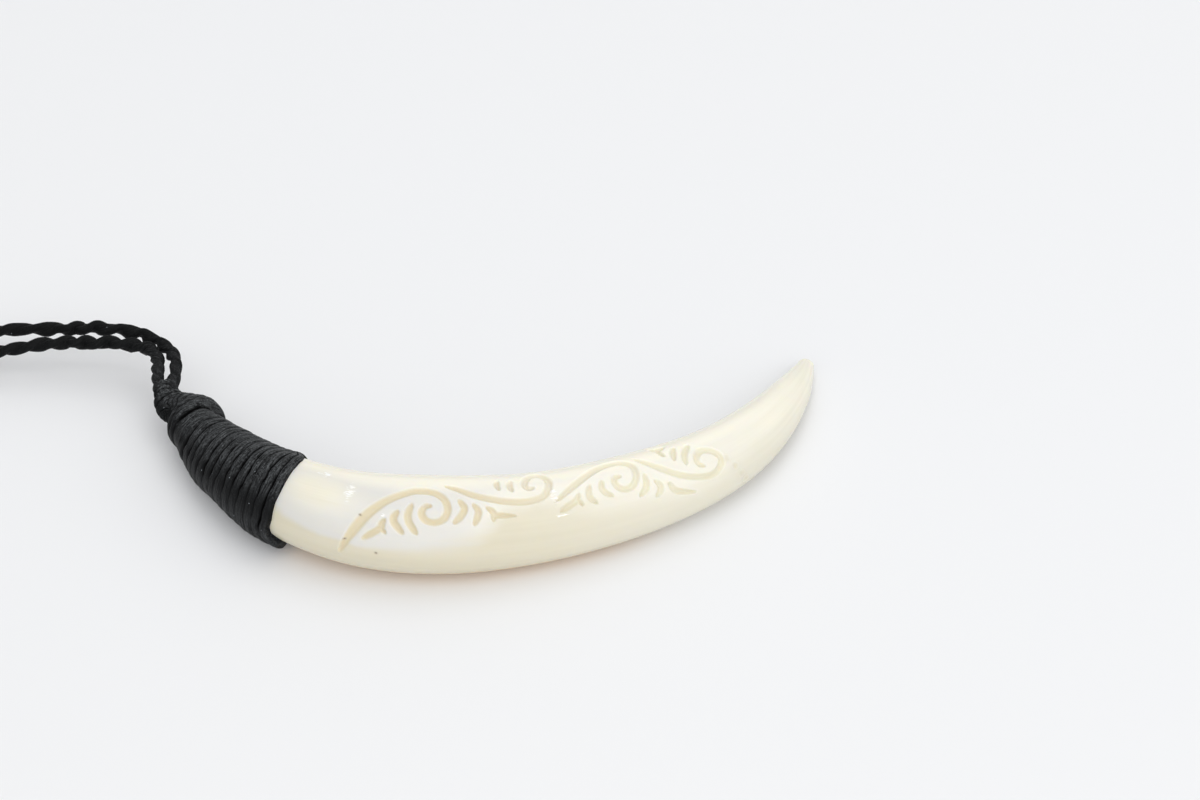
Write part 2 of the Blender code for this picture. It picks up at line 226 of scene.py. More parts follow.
def smooth_row(places, heights, at):
    """Heights at `at` on a smooth curve through the given heights at the given places."""
    places = np.asarray(places, float)
    heights = np.asarray(heights, float)
    at = np.asarray(at, float)
    last = len(places) - 1
    index = np.arange(last + 1)
    before = np.maximum(index - 1, 0)
    after = np.minimum(index + 1, last)
    slopes = (heights[after] - heights[before]) / (places[after] - places[before])
    i = np.clip(np.searchsorted(places, at, side="left") - 1, 0, last - 1)
    step = places[i + 1] - places[i]
    t = np.clip((at - places[i]) / step, 0.0, 1.0)
    ends = (2 * t ** 3 - 3 * t ** 2 + 1) * heights[i] + (3 * t ** 2 - 2 * t ** 3) * heights[i + 1]
    return ends + step * ((t ** 3 - 2 * t ** 2 + t) * slopes[i] + (t ** 3 - t ** 2) * slopes[i + 1])


def length_along(line):
    """How far along a line each of its points is."""
    return np.concatenate([[0.0], np.cumsum(np.linalg.norm(np.diff(line, axis=0), axis=1))])


def smooth_line(points, step):
    """Points about `step` apart on a smooth curve through the given ones."""
    points = np.asarray(points, float)
    places = length_along(points)
    stops = np.linspace(0.0, places[-1], max(round(places[-1] / step), 2) + 1)
    return np.stack([smooth_row(places, points[:, k], stops) for k in range(points.shape[1])], 1)


def eased(at, start, end):
    """0 up to the start and 1 from the end, with a soft rise between them."""
    t = np.clip((np.asarray(at, float) - start) / (end - start), 0.0, 1.0)
    return t * t * (3 - 2 * t)


def coil_point(angle, out, height):
    """A point of the coil, where the tie pinches the turns and lifts them a little."""
    pinch = np.exp(-(((angle - TIE_ANGLE + 180) % 360 - 180) / TIE_REACH) ** 2)
    radius = COIL_RADIUS + out * (1 - TIE_PINCH * pinch)
    rise = CORD + (height - CORD) * (1 - TIE_PINCH * pinch) + TIE_LIFT * pinch
    turn = np.radians(angle)
    return np.stack([COIL_AT[0] + radius * np.cos(turn), COIL_AT[1] + radius * np.sin(turn),
                     rise], -1)


def wind_coil():
    """The doubled cord's outer run, its closing bend, and its inner run, as one line."""
    angle = np.arange(COIL_FROM, BIGHT_TO + 1.0, 6.0)
    top = eased(angle, BIGHT_FROM, BIGHT_OVER)
    out = CORD - 2 * CORD * eased(angle, *COIL_INWARD) + 2 * CORD * eased(angle, *COIL_OUTWARD)
    out -= 1.12 * CORD * top
    height = CORD / 2 + CORD * eased(angle, *COIL_UP) + CORD * top
    # Half the space between the two runs, which widens into the bend.
    apart = CORD / 2 + (BIGHT_RADIUS - CORD / 2) * eased(angle, BIGHT_FROM, BIGHT_TO)
    outer = coil_point(angle, out + apart, height)
    inner = coil_point(angle, out - apart, height)
    middle = (outer[-1] + inner[-1]) / 2
    across = (outer[-1] - inner[-1]) / 2
    turn = np.radians(angle[-1])
    ahead = np.array([-math.sin(turn), math.cos(turn), 0.0]) * BIGHT_RADIUS
    bend = [middle + across * math.cos(a) + ahead * math.sin(a)
            for a in np.radians(np.arange(15.0, 166.0, 15.0))]
    return np.concatenate([outer, bend, inner[::-1]])


def unit(vectors):
    """Vectors of length 1 that point the same ways."""
    return vectors / np.linalg.norm(vectors, axis=1, keepdims=True)


def level_side(line):
    """Which way a line goes, and the level direction square to it, at each of its points."""
    ahead = unit(np.gradient(line, axis=0))
    return ahead, unit(np.cross(ahead, (0.0, 0.0, 1.0)))


def ring_angles(sides):
    """The angles of the points of a ring."""
    return np.radians(np.arange(sides) * 360.0 / sides)


def tube_skin(along, across):
    """Faces and UVs that join rings of points, from how far along each ring is and how far
    round each of its points is; `across` ends with the full way round."""
    sides = len(across) - 1
    i, j = np.meshgrid(np.arange(len(along) - 1), np.arange(sides), indexing="ij")
    i, j = i.ravel(), j.ravel()
    k = (j + 1) % sides
    faces = np.stack([i * sides + j, i * sides + k, (i + 1) * sides + k, (i + 1) * sides + j], 1)
    uvs = np.stack([along[i], across[j], along[i], across[j + 1], along[i + 1], across[j + 1],
                    along[i + 1], across[j]], 1)
    return faces.tolist(), uvs.reshape(-1, 4, 2)


def twisted_cord(line, phase, swell):
    """Points, faces and UVs of two soft yarns, pressed together as they wind round a line."""
    along = length_along(line)
    ahead, aside = level_side(line)
    over = np.cross(aside, ahead)
    around = ring_angles(CORD_SIDES)
    # They are a little thicker here and there, and a cleft runs along where they meet.
    uneven = 1 + 0.04 * np.sin(along * 731.0) + 0.03 * np.sin(along * 1903.0 + 1.0)
    seam = np.abs(around % math.pi - math.pi / 2)
    radius = (CORD_MIDDLE + swell[:, None] * np.cos(2 * around)[None, :]
              - YARN_GAP * np.exp(-(seam / YARN_CLEFT) ** 2)[None, :]) * uneven[:, None]
    turned = phase[:, None] + around[None, :]
    rings = (line[:, None, :] + (radius * np.cos(turned))[..., None] * aside[:, None, :]
             + (radius * np.sin(turned))[..., None] * over[:, None, :])
    side = 2 * math.pi * CORD_MIDDLE / CORD_SIDES
    return rings.reshape(-1, 3), *tube_skin(along, np.arange(CORD_SIDES + 1) * side)


def maths(tree, operation, *values):
    """What a Math node makes of its values or links."""
    return node(tree, "ShaderNodeMath", dict(enumerate(values)),
                operation=operation).outputs["Value"]


def new_effect(name, inputs, outputs):
    """A node group with its named inputs and outputs, and the links from its inputs."""
    group = bpy.data.node_groups.new(name, "ShaderNodeTree")
    for way, sockets in (("INPUT", inputs), ("OUTPUT", outputs)):
        for socket, kind in sockets:
            group.interface.new_socket(socket, in_out=way, socket_type=kind)
    return group, node(group, "NodeGroupInput").outputs


# Fibres that run along a yarn, as a mask and as a height.
fibres, given = new_effect(
    "yarn_fibres",
    (("Lay", "NodeSocketVector"), ("Along", "NodeSocketFloat"), ("Across", "NodeSocketFloat")),
    (("Mask", "NodeSocketFloat"), ("Height", "NodeSocketFloat")))
scale = node(fibres, "ShaderNodeCombineXYZ", {"X": given["Along"], "Y": given["Across"], "Z": 1.0})
spot = node(fibres, "ShaderNodeVectorMath", {0: given["Lay"], 1: scale.outputs["Vector"]},
            operation="MULTIPLY")
fibre = noise(fibres, spot.outputs["Vector"], 1.0, 3.0, 0.6)
node(fibres, "NodeGroupOutput", {"Mask": spread(fibres, fibre, 0.42, 0.68), "Height": fibre})

# A few pale specks of lint and dust, as a mask.
dust, given = new_effect(
    "dust_specks",
    (("Place", "NodeSocketVector"), ("Closeness", "NodeSocketFloat"), ("Size", "NodeSocketFloat")),
    (("Mask", "NodeSocketFloat"),))
cells = node(dust, "ShaderNodeTexVoronoi", {"Vector": given["Place"], "Scale": given["Closeness"]})
speck = maths(dust, "LESS_THAN", cells.outputs["Distance"], given["Size"])
node(dust, "NodeGroupOutput", {"Mask": speck})

# The specks' closeness per metre and size, and the colours of lint and of the painted shade in a
# gap.
LINT_CLOSENESS = 500.0
LINT_SIZE = 0.05
LINT_GREY = (0.22, 0.24, 0.26)
GAP_PAINTED_SHADE = (0.001, 0.001, 0.001)


def thread_finish(name, dark, light, along, across, roughness):
    """Waxed black yarn: fine pale fibres, a soft sheen and a little dust. A piece's `dim` mark
    fades its fibres, which on the lashing is painted shade, and its `gap` mark paints
    near-black shade into the gaps between its turns."""
    material, tree, shader = new_finish(name, {"Metallic": 0.0, "Specular IOR Level": 0.08})
    where = node(tree, "ShaderNodeTexCoord")
    streak = node(tree, "ShaderNodeGroup", {"Lay": where.outputs["UV"], "Along": along,
                                            "Across": across}, node_tree=fibres)
    lint = node(tree, "ShaderNodeGroup", {"Place": where.outputs["Object"],
                                          "Closeness": LINT_CLOSENESS, "Size": LINT_SIZE},
                node_tree=dust)
    grain = noise(tree, where.outputs["Object"], 3200.0, 2.0)
    fuzz = spread(tree, grain, 0.50, 0.72, most=0.6)
    pale = maths(tree, "MULTIPLY_ADD", streak.outputs["Mask"], 0.7, fuzz)
    dim = node(tree, "ShaderNodeAttribute", attribute_name="dim").outputs["Fac"]
    shown = maths(tree, "MULTIPLY", pale, maths(tree, "SUBTRACT", 1.0, dim))
    colour = blend(tree, shown, dark, light)
    gap = node(tree, "ShaderNodeAttribute", attribute_name="gap").outputs["Fac"]
    colour = blend(tree, lint.outputs["Mask"], blend(tree, gap, colour, GAP_PAINTED_SHADE), LINT_GREY)
    gloss = maths(tree, "MULTIPLY_ADD", gap, 0.45, roughness)
    rough = maths(tree, "MULTIPLY_ADD", grain, 0.7, streak.outputs["Height"])
    bump = node(tree, "ShaderNodeBump", {"Height": rough, "Strength": 0.8, "Distance": 0.00022})
    tree.links.new(colour, shader.inputs["Base Color"])
    tree.links.new(gloss, shader.inputs["Roughness"])
    tree.links.new(bump.outputs["Normal"], shader.inputs["Normal"])
    return material


cord_finish = thread_finish("twisted_cord_finish", dark=(0.004, 0.0043, 0.0045),
                            light=(0.046, 0.048, 0.051), along=250.0, across=4000.0, roughness=0.5)
cord_stops = np.concatenate([[FAR_ROOT], smooth_line(FAR_ROUTE, ROUTE_STEP), wind_coil(),
                             smooth_line(NEAR_ROUTE, ROUTE_STEP)[::-1], [NEAR_ROOT]])
cord_line = smooth_line(cord_stops, CORD_STEP)
cord_along = length_along(cord_line)
from_far = cord_along / MM
from_near = (cord_along[-1] - cord_along) / MM
bow = (smooth_row(*zip(*FAR_BOWS), from_far) + smooth_row(*zip(*NEAR_BOWS), from_near)) * MM
cord_line = cord_line + bow[:, None] * level_side(cord_line)[1]
# Between the two strands in view, the cord has a whole number of even half turns.
far_knots = np.array(FAR_TWIST) * (MM, 1.0)
near_knots = (np.array(NEAR_TWIST) * (-MM, 1.0) + (cord_along[-1], 0.0))[::-1]
half_turns = (near_knots[0, 0] - far_knots[-1, 0]) / (TWIST / 2)
near_knots[:, 1] += round(far_knots[-1, 1] + half_turns - near_knots[0, 1])
cord_phase = math.pi * np.interp(cord_along, *np.concatenate([far_knots, near_knots]).T)
# Its yarns are pressed together at the collar and in the coil, and stand out most at 14 mm from
# the collar. Its fibres are palest by the collar.
nearer = np.minimum(from_far, from_near)
loose = 0.3 * np.exp(-((nearer - 14.0) / 4.5) ** 2)
pressed = 0.5 * eased(nearer, 40.0, 52.0)
swell = CORD_SWELL * (0.55 + 0.45 * eased(nearer, 5.0, 10.0) + loose - pressed)
faded = 0.85 * eased(nearer, 6.0, 16.0)
places, faces, uvs = twisted_cord(cord_line, cord_phase, swell)
neck_cord = add_piece("neck_cord", places, faces, cord_finish, uvs,
                      {"dim": np.repeat(faded, CORD_SIDES)})
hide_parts("neck_cord_far_strand", "neck_cord_near_strand", "neck_cord_coil")
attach(neck_cord, "root")


# ---- The coil's tie ----
# A short end of the same waxed thread as the lashing's, wound four times round the coil to
# hold its turns together.

TIE_TURNS = 4
TIE_THREAD = 0.0006
TIE_SIDES = 10
TIE_STEP = 0.0004
# The rounded square that it winds: its half width, and how high its middle and its half are.
TIE_HALF_WIDTH = 0.0042
TIE_MIDDLE = 0.00263
TIE_HALF_HEIGHT = 0.0023
thread_black = thread_finish("waxed_thread_finish", dark=(0.006, 0.0065, 0.007),
                             light=(0.112, 0.118, 0.123), along=500.0, across=3800.0,
                             roughness=0.45)


def oval_thread(line, wide, thick, sides):
    """Points, faces and UVs of a thread of oval section, wound flat round its own middle."""
    ahead = unit(np.gradient(line, axis=0))
    outward = line - line.mean(0)
    outward = unit(outward - (outward * ahead).sum(1, keepdims=True) * ahead)
    edgeways = np.cross(ahead, outward)
    around = ring_angles(sides)
    rings = (line[:, None, :] + thick / 2 * np.cos(around)[None, :, None] * outward[:, None, :]
             + wide / 2 * np.sin(around)[None, :, None] * edgeways[:, None, :])
    side = math.pi * wide / sides
    return rings.reshape(-1, 3), *tube_skin(length_along(line), np.arange(sides + 1) * side)


def wind_tie():
    """The thread's line: turns side by side, each a rounded square round the coil's section."""
    turn = math.radians(TIE_ANGLE)
    out = np.array([math.cos(turn), math.sin(turn), 0.0])
    along = np.array([-math.sin(turn), math.cos(turn), 0.0])
    middle = np.array([COIL_AT[0], COIL_AT[1], 0.0]) + COIL_RADIUS * out
    points = []
    for angle in np.radians(np.arange(0.0, 360.0 * TIE_TURNS + 1, 10.0)):
        x, y = math.cos(angle), math.sin(angle)
        square = (abs(x) ** 4 + abs(y) ** 4) ** -0.25
        wide = TIE_HALF_WIDTH * x * square
        rise = TIE_MIDDLE + TIE_HALF_HEIGHT * y * square
        share = angle / (2 * math.pi * TIE_TURNS) - 0.5
        points.append(middle + wide * out + share * TIE_THREAD * TIE_TURNS * along
                      + np.array([0.0, 0.0, rise]))
    return smooth_line(points, TIE_STEP)


places, faces, uvs = oval_thread(wind_tie(), wide=1.15 * TIE_THREAD, thick=0.9 * TIE_THREAD,
                                 sides=TIE_SIDES)
coil_tie = add_piece("cord_tie", places, faces, thread_black, uvs)
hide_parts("coil_tie")
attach(coil_tie, "root")


# ---- The tusk ----
# One grown tooth, bent in an even bow, sanded to a soft three-sided round, buffed, and
# ground flat underneath. Four scrolls and their notches are cut into its face by burr.

# Here and in the lashing, lengths are in millimetres and angles in degrees. u runs along the
# tusk from its root end; v runs round its skin, from the line at FACE_LINE that faces the eye.
TUSK_LENGTH = 133.6
ROOT_AT = (-45.9, 3.1)
# By the share of its length: its heading, its half width, its height as a share of its width,
# how far it lifts off the table, and how much its section draws out into three soft corners.
HEADINGS = [(0, -61), (1 / 6, -37), (1 / 3, -3), (1 / 2, 18), (2 / 3, 34), (5 / 6, 58), (1, 75)]
HALF_WIDTHS = [(0, 4.0), (0.1, 5.6), (0.2, 6.8), (0.35, 7.9), (0.5, 7.4), (0.65, 6.8),
               (0.8, 5.5), (0.92, 3.5), (1, 1.5)]
HEIGHT_SHARES = [(0, 1.03), (0.25, 1.0), (0.6, 0.92), (1, 0.8)]
LIFTS = [(0, 1.35), (0.18, 1.35), (0.3, 0.45), (0.42, 0.0), (0.72, 0.0), (1, 0.6)]
CORNER_HEIGHTS = [(0, 0.06), (1, 0.02)]
# The angle of one of the corners, how much is ground off underneath, and how far the tip bulges.
CORNER_TURN = 80
GROUND_OFF = 0.32
TIP_ROUND = 1.2
FACE_LINE = 140
# Each scroll's groove, as (u, v) points from the foot of its stem to the heart of its curl. The
# first one's stem is thicker in the middle, and its curl winds evenly in on an eye.
SCROLLS = [
    [(35.8, 5.9), (37.2, 2.5), (39.0, -0.8), (40.4, -2.5), (42.2, -4.0), (45.3, -5.5)],
    [(50.5, -6.7), (52.2, -6.1), (55.0, -4.8), (58.5, -3.7), (61.0, -3.2), (63.4, -3.1),
     (65.4, -3.6), (66.5, -4.7), (66.9, -6.0), (66.4, -7.3), (65.4, -8.0), (64.2, -7.8),
     (63.3, -6.9), (63.0, -5.9), (63.4, -5.3), (64.1, -5.3)],
    [(66.9, -2.2), (68.8, -3.4), (71.0, -4.6), (73.2, -5.7), (75.5, -6.6), (77.4, -6.9),
     (79.2, -6.8), (80.5, -6.1), (81.2, -5.1), (81.1, -3.8), (80.5, -2.7), (79.5, -1.9),
     (78.3, -1.8), (77.4, -2.4), (77.1, -3.3), (77.5, -4.1), (78.3, -4.1)],
    [(82.2, -6.6), (83.4, -5.3), (85.0, -3.7), (86.7, -2.2), (88.0, -1.2), (89.6, -0.3),
     (91.3, 0.4), (92.9, 0.8), (94.3, 0.6), (95.4, -0.1), (96.0, -1.1), (95.7, -2.2),
     (94.9, -3.1), (93.8, -3.6), (92.7, -3.4), (91.9, -2.6), (91.9, -1.7), (92.5, -1.2)],
]
# Where that eye is, how far from it the curl starts and ends, from which angle it goes how far
# round, and how soon it draws in. Then how much the stem swells, where, and over what length.
CURL_EYE = (48.3, -2.3)
CURL_RADII = (3.6, 0.89)
CURL_START, CURL_TURN, CURL_EASE = -110, 369, 0.69
STEM_SWELL, STEM_SWELL_AT, STEM_SWELL_LONG = 0.4, 6.5, 4.5
# The notches between the scrolls, and two cuts that trail off.
NOTCHES = [
    [(39.0, 2.9), (39.9, 2.1), (40.6, 1.5), (41.3, 0.8), (41.4, 0.1), (41.7, -0.6)],
    [(41.0, 1.1), (41.5, 1.2), (41.9, 1.6)],
    [(43.5, -2.1), (43.0, -1.1), (43.0, -0.4), (43.5, 0.4), (44.3, 1.5)],
    [(45.5, -3.3), (45.0, -1.9), (45.1, -0.6), (45.6, 0.4), (46.2, 1.5)],
    [(52.5, -4.1), (53.2, -2.8), (52.7, -1.6), (51.6, -0.3)],
    [(54.6, -3.3), (55.2, -2.2), (55.0, -1.2), (54.5, 0.0)],
    [(56.6, -2.7), (57.4, -1.8), (57.3, -0.5)],
    [(58.9, -7.4), (58.6, -6.6), (58.8, -5.7)],
    [(61.0, -7.1), (60.6, -6.2), (60.8, -5.2)],
    [(67.6, -0.6), (69.0, -1.3), (70.2, -1.9), (70.9, -2.8)], [(70.5, -2.0), (71.0, -1.0)],
    [(73.0, -3.8), (72.5, -2.7), (72.5, -1.8), (73.2, -0.8)],
    [(75.2, -4.1), (74.8, -3.0), (75.1, -2.1), (76.0, -1.3)],
    [(82.3, -3.2), (82.1, -1.9), (81.5, -0.8), (80.4, 0.0)],
    [(83.6, -1.7), (84.1, -0.6), (83.8, 0.2), (83.0, 0.9)],
    [(86.1, -7.9), (87.0, -7.1), (88.5, -7.2)], [(86.9, -6.9), (87.2, -5.3)],
    [(89.8, -6.1), (88.9, -5.0), (88.4, -4.0)],
    [(92.4, -5.5), (91.0, -4.6), (90.2, -3.6), (89.9, -2.6)],
]
TAILS = [[(57.4, -1.3), (58.6, -1.2), (60.8, -0.9)],
         [(85.7, -0.4), (86.0, 0.6), (86.6, 1.2), (87.8, 1.8), (89.6, 2.5)]]
# The shallow pits beyond the last scroll, and the small dark specks.
PITS = [(96.9, -0.6), (97.8, 1.2), (98.5, 3.1), (99.3, 4.6)]
SPECKS = [(40.8, 5.1), (38.2, -0.9), (36.4, 3.6)]
# As a place and a length and width: the scuffs, whose real scratches are painted pale as glints,
# the warm patch beside the lashing, and where the second scroll is worn paler, by the outer bend.
SCUFFS = [(31.0, -6.3, 2.5, 1.2), (36.0, -4.2, 1.7, 2.8), (41.5, -1.0, 0.8, 0.9),
          (67.0, -3.5, 1.2, 3.2), (68.0, 0.1, 1.8, 0.4)]
WARM_PATCH = (31.2, -3.1, 5.4, 2.8)
WORN_PLACE = (62.0, -7.0, 5.0, 2.2)
# By u: the upper edge of the darker enamel along the outer bend, as v, and that edge's softness.
LOW_BAND = [(25.0, 1.2), (27.0, 2.4), (29.7, 3.0), (33.0, 3.7), (36.0, 3.8), (38.2, 4.5),
            (46.5, 4.5), (51.1, 3.6), (54.9, 2.2), (57.1, 0.2), (59.0, -2.2), (64.0, -3.0),
            (68.0, -2.0), (74.0, -0.4), (82.0, 0.5), (90.0, 1.6), (104.0, 0.1), (114.0, 0.6),
            (134.0, 1.2)]
LOW_SOFT = [(25.0, 1.2), (29.0, 0.7), (38.0, 0.5), (46.0, 1.3), (52.0, 2.8), (60.0, 2.8),
            (80.0, 3.0), (110.0, 4.2), (134.0, 4.5)]
# By u: how strongly the cuts are coloured.
CUT_TINT = [(36.0, 1.0), (48.0, 0.95), (56.0, 0.9), (66.0, 0.65), (80.0, 0.75), (100.0, 0.75)]
# The carving's depth, its grooves' half widths, and how they begin and end: their first and last
# widths as shares, and how long they take to swell and to narrow.
GROOVE_DEPTH = 0.52
SCROLL_HALF = 0.66
NOTCH_HALF = 0.64
SCROLL_ENDS = (0.3, 0.6, 4.5, 2.5)
NOTCH_ENDS = (0.5, 0.5, 1.2, 1.2)
TAIL_ENDS = (0.7, 0.1, 1.0, 3.0)
# The burr's half width, the shares of a groove's half width where its floor ends and its wall
# does, the lip that is left beside it, and how far from it that lip is looked for.
BURR_HALF = 0.45
GROOVE_FLOOR, GROOVE_WALL = 0.15, 1.1
LIP_HEIGHT = 0.03
LIP_WIDTH = 0.12
GROOVE_REACH = 1.6
FAR_FROM_CUTS = 9.0
# A pit's radius, and its depth as a share of a groove's.
PIT_RADIUS = 0.8
PIT_DEPTH = 0.2
# The mesh is fine on the carved stretch and on the face, and coarse elsewhere.
FACE_FROM, FACE_TO = 58.0, 202.0
FACE_STEP = 1.3
BACK_STEP = 6.0
CARVED_FROM, CARVED_TO = 33.0, 101.0
CARVED_STEP = 0.17
PLAIN_STEP = 0.9
STROKE_STEP = 0.3
SCROLL_STEP = 0.35
# The radius by which the lay is measured round the tusk.
MEAN_RADIUS = 7.5
# The painted warm shade of the underside.
UNDERSIDE_PAINTED_SHADE = (0.70, 0.44, 0.16)
GROWTH_CREAM = (0.86, 0.82, 0.70)
STAIN_BROWN = (0.16, 0.10, 0.05)
# The white of the scuffs: real scratches, painted bright to stand in for their glints.
SCUFF_PAINTED_GLINT = (0.98, 0.98, 0.97)

# The tusk's middle line, followed step by step along its headings.
line_steps = 400
shares = np.arange(line_steps + 1) / line_steps
spine_turn = np.radians(smooth_row(*zip(*HEADINGS), shares))
between = np.radians(smooth_row(*zip(*HEADINGS), shares[:-1] + 0.5 / line_steps))
spine_step = TUSK_LENGTH / line_steps
spine_x = ROOT_AT[0] + np.concatenate([[0.0], np.cumsum(spine_step * np.cos(between))])
spine_y = ROOT_AT[1] + np.concatenate([[0.0], np.cumsum(spine_step * np.sin(between))])


def radii_at(u):
    """The tusk's half width and half height."""
    width = smooth_row(*zip(*HALF_WIDTHS), u / TUSK_LENGTH)
    return width, width * smooth_row(*zip(*HEIGHT_SHARES), u / TUSK_LENGTH)


def corner(u, angle):
    """How much further out than an oval its three-cornered section is, as a factor."""
    height = smooth_row(*zip(*CORNER_HEIGHTS), u / TUSK_LENGTH)
    return 1 + height * np.cos(3 * np.radians(angle - CORNER_TURN))


def height_at(u):
    """How high the tusk's middle line lies, with its underside ground flat on the table."""
    lift = smooth_row(*zip(*LIFTS), u / TUSK_LENGTH)
    return radii_at(u)[1] * corner(u, 270.0) + lift - GROUND_OFF


def tusk_point(u, angle, proud=0.0, shrink=1.0, forward=0.0):
    """Points `proud` millimetres off the tusk's skin; angle 0 is its inner bend, 90 is up."""
    u, angle = np.broadcast_arrays(np.asarray(u, float), np.asarray(angle, float))
    stops = shares * TUSK_LENGTH
    turn = np.interp(u, stops, spine_turn)
    width, height = radii_at(u)
    round_off = corner(u, angle) * shrink
    across = (width * round_off + proud) * np.cos(np.radians(angle))
    rise = (height * round_off + proud) * np.sin(np.radians(angle))
    x = np.interp(u, stops, spine_x) - np.sin(turn) * across + np.cos(turn) * forward
    y = np.interp(u, stops, spine_y) + np.cos(turn) * across + np.sin(turn) * forward
    return np.stack([x, y, np.maximum(height_at(u) + rise, 0.0)], -1)


def tapered(points, half, first, last, long_first, long_last):
    """Half widths along a stroke that swell from its ends to `half`."""
    along = length_along(points)
    grow = np.sqrt(np.clip(along / long_first, 0.0, 1.0))
    fade = np.sqrt(np.clip((along[-1] - along) / long_last, 0.0, 1.0))
    return half * (first + (1 - first) * grow) * (last + (1 - last) * fade)


first_curl = []
for t in np.linspace(0.0, 1.0, 19):
    radius = CURL_RADII[0] + (CURL_RADII[1] - CURL_RADII[0]) * t ** CURL_EASE
    angle = math.radians(CURL_START + CURL_TURN * t)
    first_curl.append((CURL_EYE[0] + radius * math.cos(angle),
                       CURL_EYE[1] + radius * math.sin(angle)))
strokes = []
for scroll in [SCROLLS[0] + first_curl] + SCROLLS[1:]:
    points = smooth_line(scroll, SCROLL_STEP)
    strokes.append((points, tapered(points, SCROLL_HALF, *SCROLL_ENDS)))
points, half = strokes[0]
thicker = np.exp(-((length_along(points) - STEM_SWELL_AT) / STEM_SWELL_LONG) ** 2)
strokes[0] = (points, half * (1 + STEM_SWELL * thicker))
for notch in NOTCHES:
    points = smooth_line(notch, STROKE_STEP)
    strokes.append((points, tapered(points, NOTCH_HALF, *NOTCH_ENDS)))
for tail in TAILS:
    points = smooth_line(tail, STROKE_STEP)
    strokes.append((points, tapered(points, NOTCH_HALF, *TAIL_ENDS)))


def cut_depth(u, v):
    """How deep the carving is at each (u, v), and how far that is outside the nearest groove."""
    deep = np.zeros(u.shape)
    rim = np.full(u.shape, FAR_FROM_CUTS)
    for points, half in strokes:
        low_u, low_v = points.min(0) - GROOVE_REACH
        high_u, high_v = points.max(0) + GROOVE_REACH
        near = (u > low_u) & (u < high_u) & (v > low_v) & (v < high_v)
        pu, pv = u[near], v[near]
        best = np.zeros(pu.shape)
        edge = np.full(pu.shape, FAR_FROM_CUTS)
        for a, b, wa, wb in zip(points, points[1:], half, half[1:]):
            du, dv = b - a
            t = np.clip(((pu - a[0]) * du + (pv - a[1]) * dv) / (du * du + dv * dv), 0.0, 1.0)
            away = np.hypot(pu - a[0] - t * du, pv - a[1] - t * dv)
            wide = wa + (wb - wa) * t
            # Round-bottomed, and shallower where the stroke is thinner than the burr.
            share = 1 - eased(away / wide, GROOVE_FLOOR, GROOVE_WALL)
            best = np.maximum(best, share * np.minimum(1.0, wide / BURR_HALF))
            edge = np.minimum(edge, away - wide)
        deep[near] = np.maximum(deep[near], best)
        rim[near] = np.minimum(rim[near], edge)
    for pit in PITS:
        away = np.hypot(u - pit[0], v - pit[1])
        deep = np.maximum(deep, PIT_DEPTH * (1 - eased(away / PIT_RADIUS, 0.1, 1.0)))
    return deep, rim


def blot(u, v, at_u, at_v, long, wide):
    """A soft oval spot, 1 in its middle."""
    return np.exp(-((u - at_u) / long) ** 2 - ((v - at_v) / wide) ** 2)


def tusk_marks(u, v, angle, deep):
    """Where the material shows cuts, darker and warmer enamel, painted warm shade on the underside,
    and its wear.
    """
    cut = np.minimum(2.2 * deep, 1.0) * np.interp(u, *zip(*CUT_TINT))
    cut = cut * (1 - 0.4 * blot(u, v, *WORN_PLACE))
    # Painted warm shade on the underside, where the tusk lies in its own shadow. It also warms the
    # shadow cast on the paper. There is less of it towards the tip.
    under = eased(angle, 210.0, 232.0) * (1 - eased(angle, 300.0, 330.0))
    under = under * (1 - 0.9 * eased(u, 72.0, 92.0))
    low = (v - np.interp(u, *zip(*LOW_BAND))) / np.interp(u, *zip(*LOW_SOFT))
    patch = 0.85 * blot(u, v, *WARM_PATCH)
    low = np.maximum(low, patch - 1)
    # The enamel is warm along the inner bend as well, and from its middle on towards its tip. Along
    # the inner bend, which is the top, its near-white cream is partly painted light for the
    # brightness the top catches.
    inward = 0.07 * np.maximum(u - 60.0, 0.0) - v
    warm = np.maximum(patch, 0.85 * eased(inward, 4.5, 8.0))
    warm = np.maximum(warm, 0.45 * eased(u, 50.0, 62.0) + 0.3 * eased(u, 96.0, 112.0))
    scuff = np.minimum(sum(blot(u, v, *spot) for spot in SCUFFS), 1.0)
    stain = sum(blot(u, v, *spot, 0.17, 0.16) for spot in SPECKS)
    stain = stain + 0.1 * sum(blot(u, v, *spot, 0.7, 0.6) for spot in PITS)
    return {"cut": cut, "low": low, "warm": warm, "under": under, "scuff": scuff,
            "stain": np.minimum(stain, 1.0)}


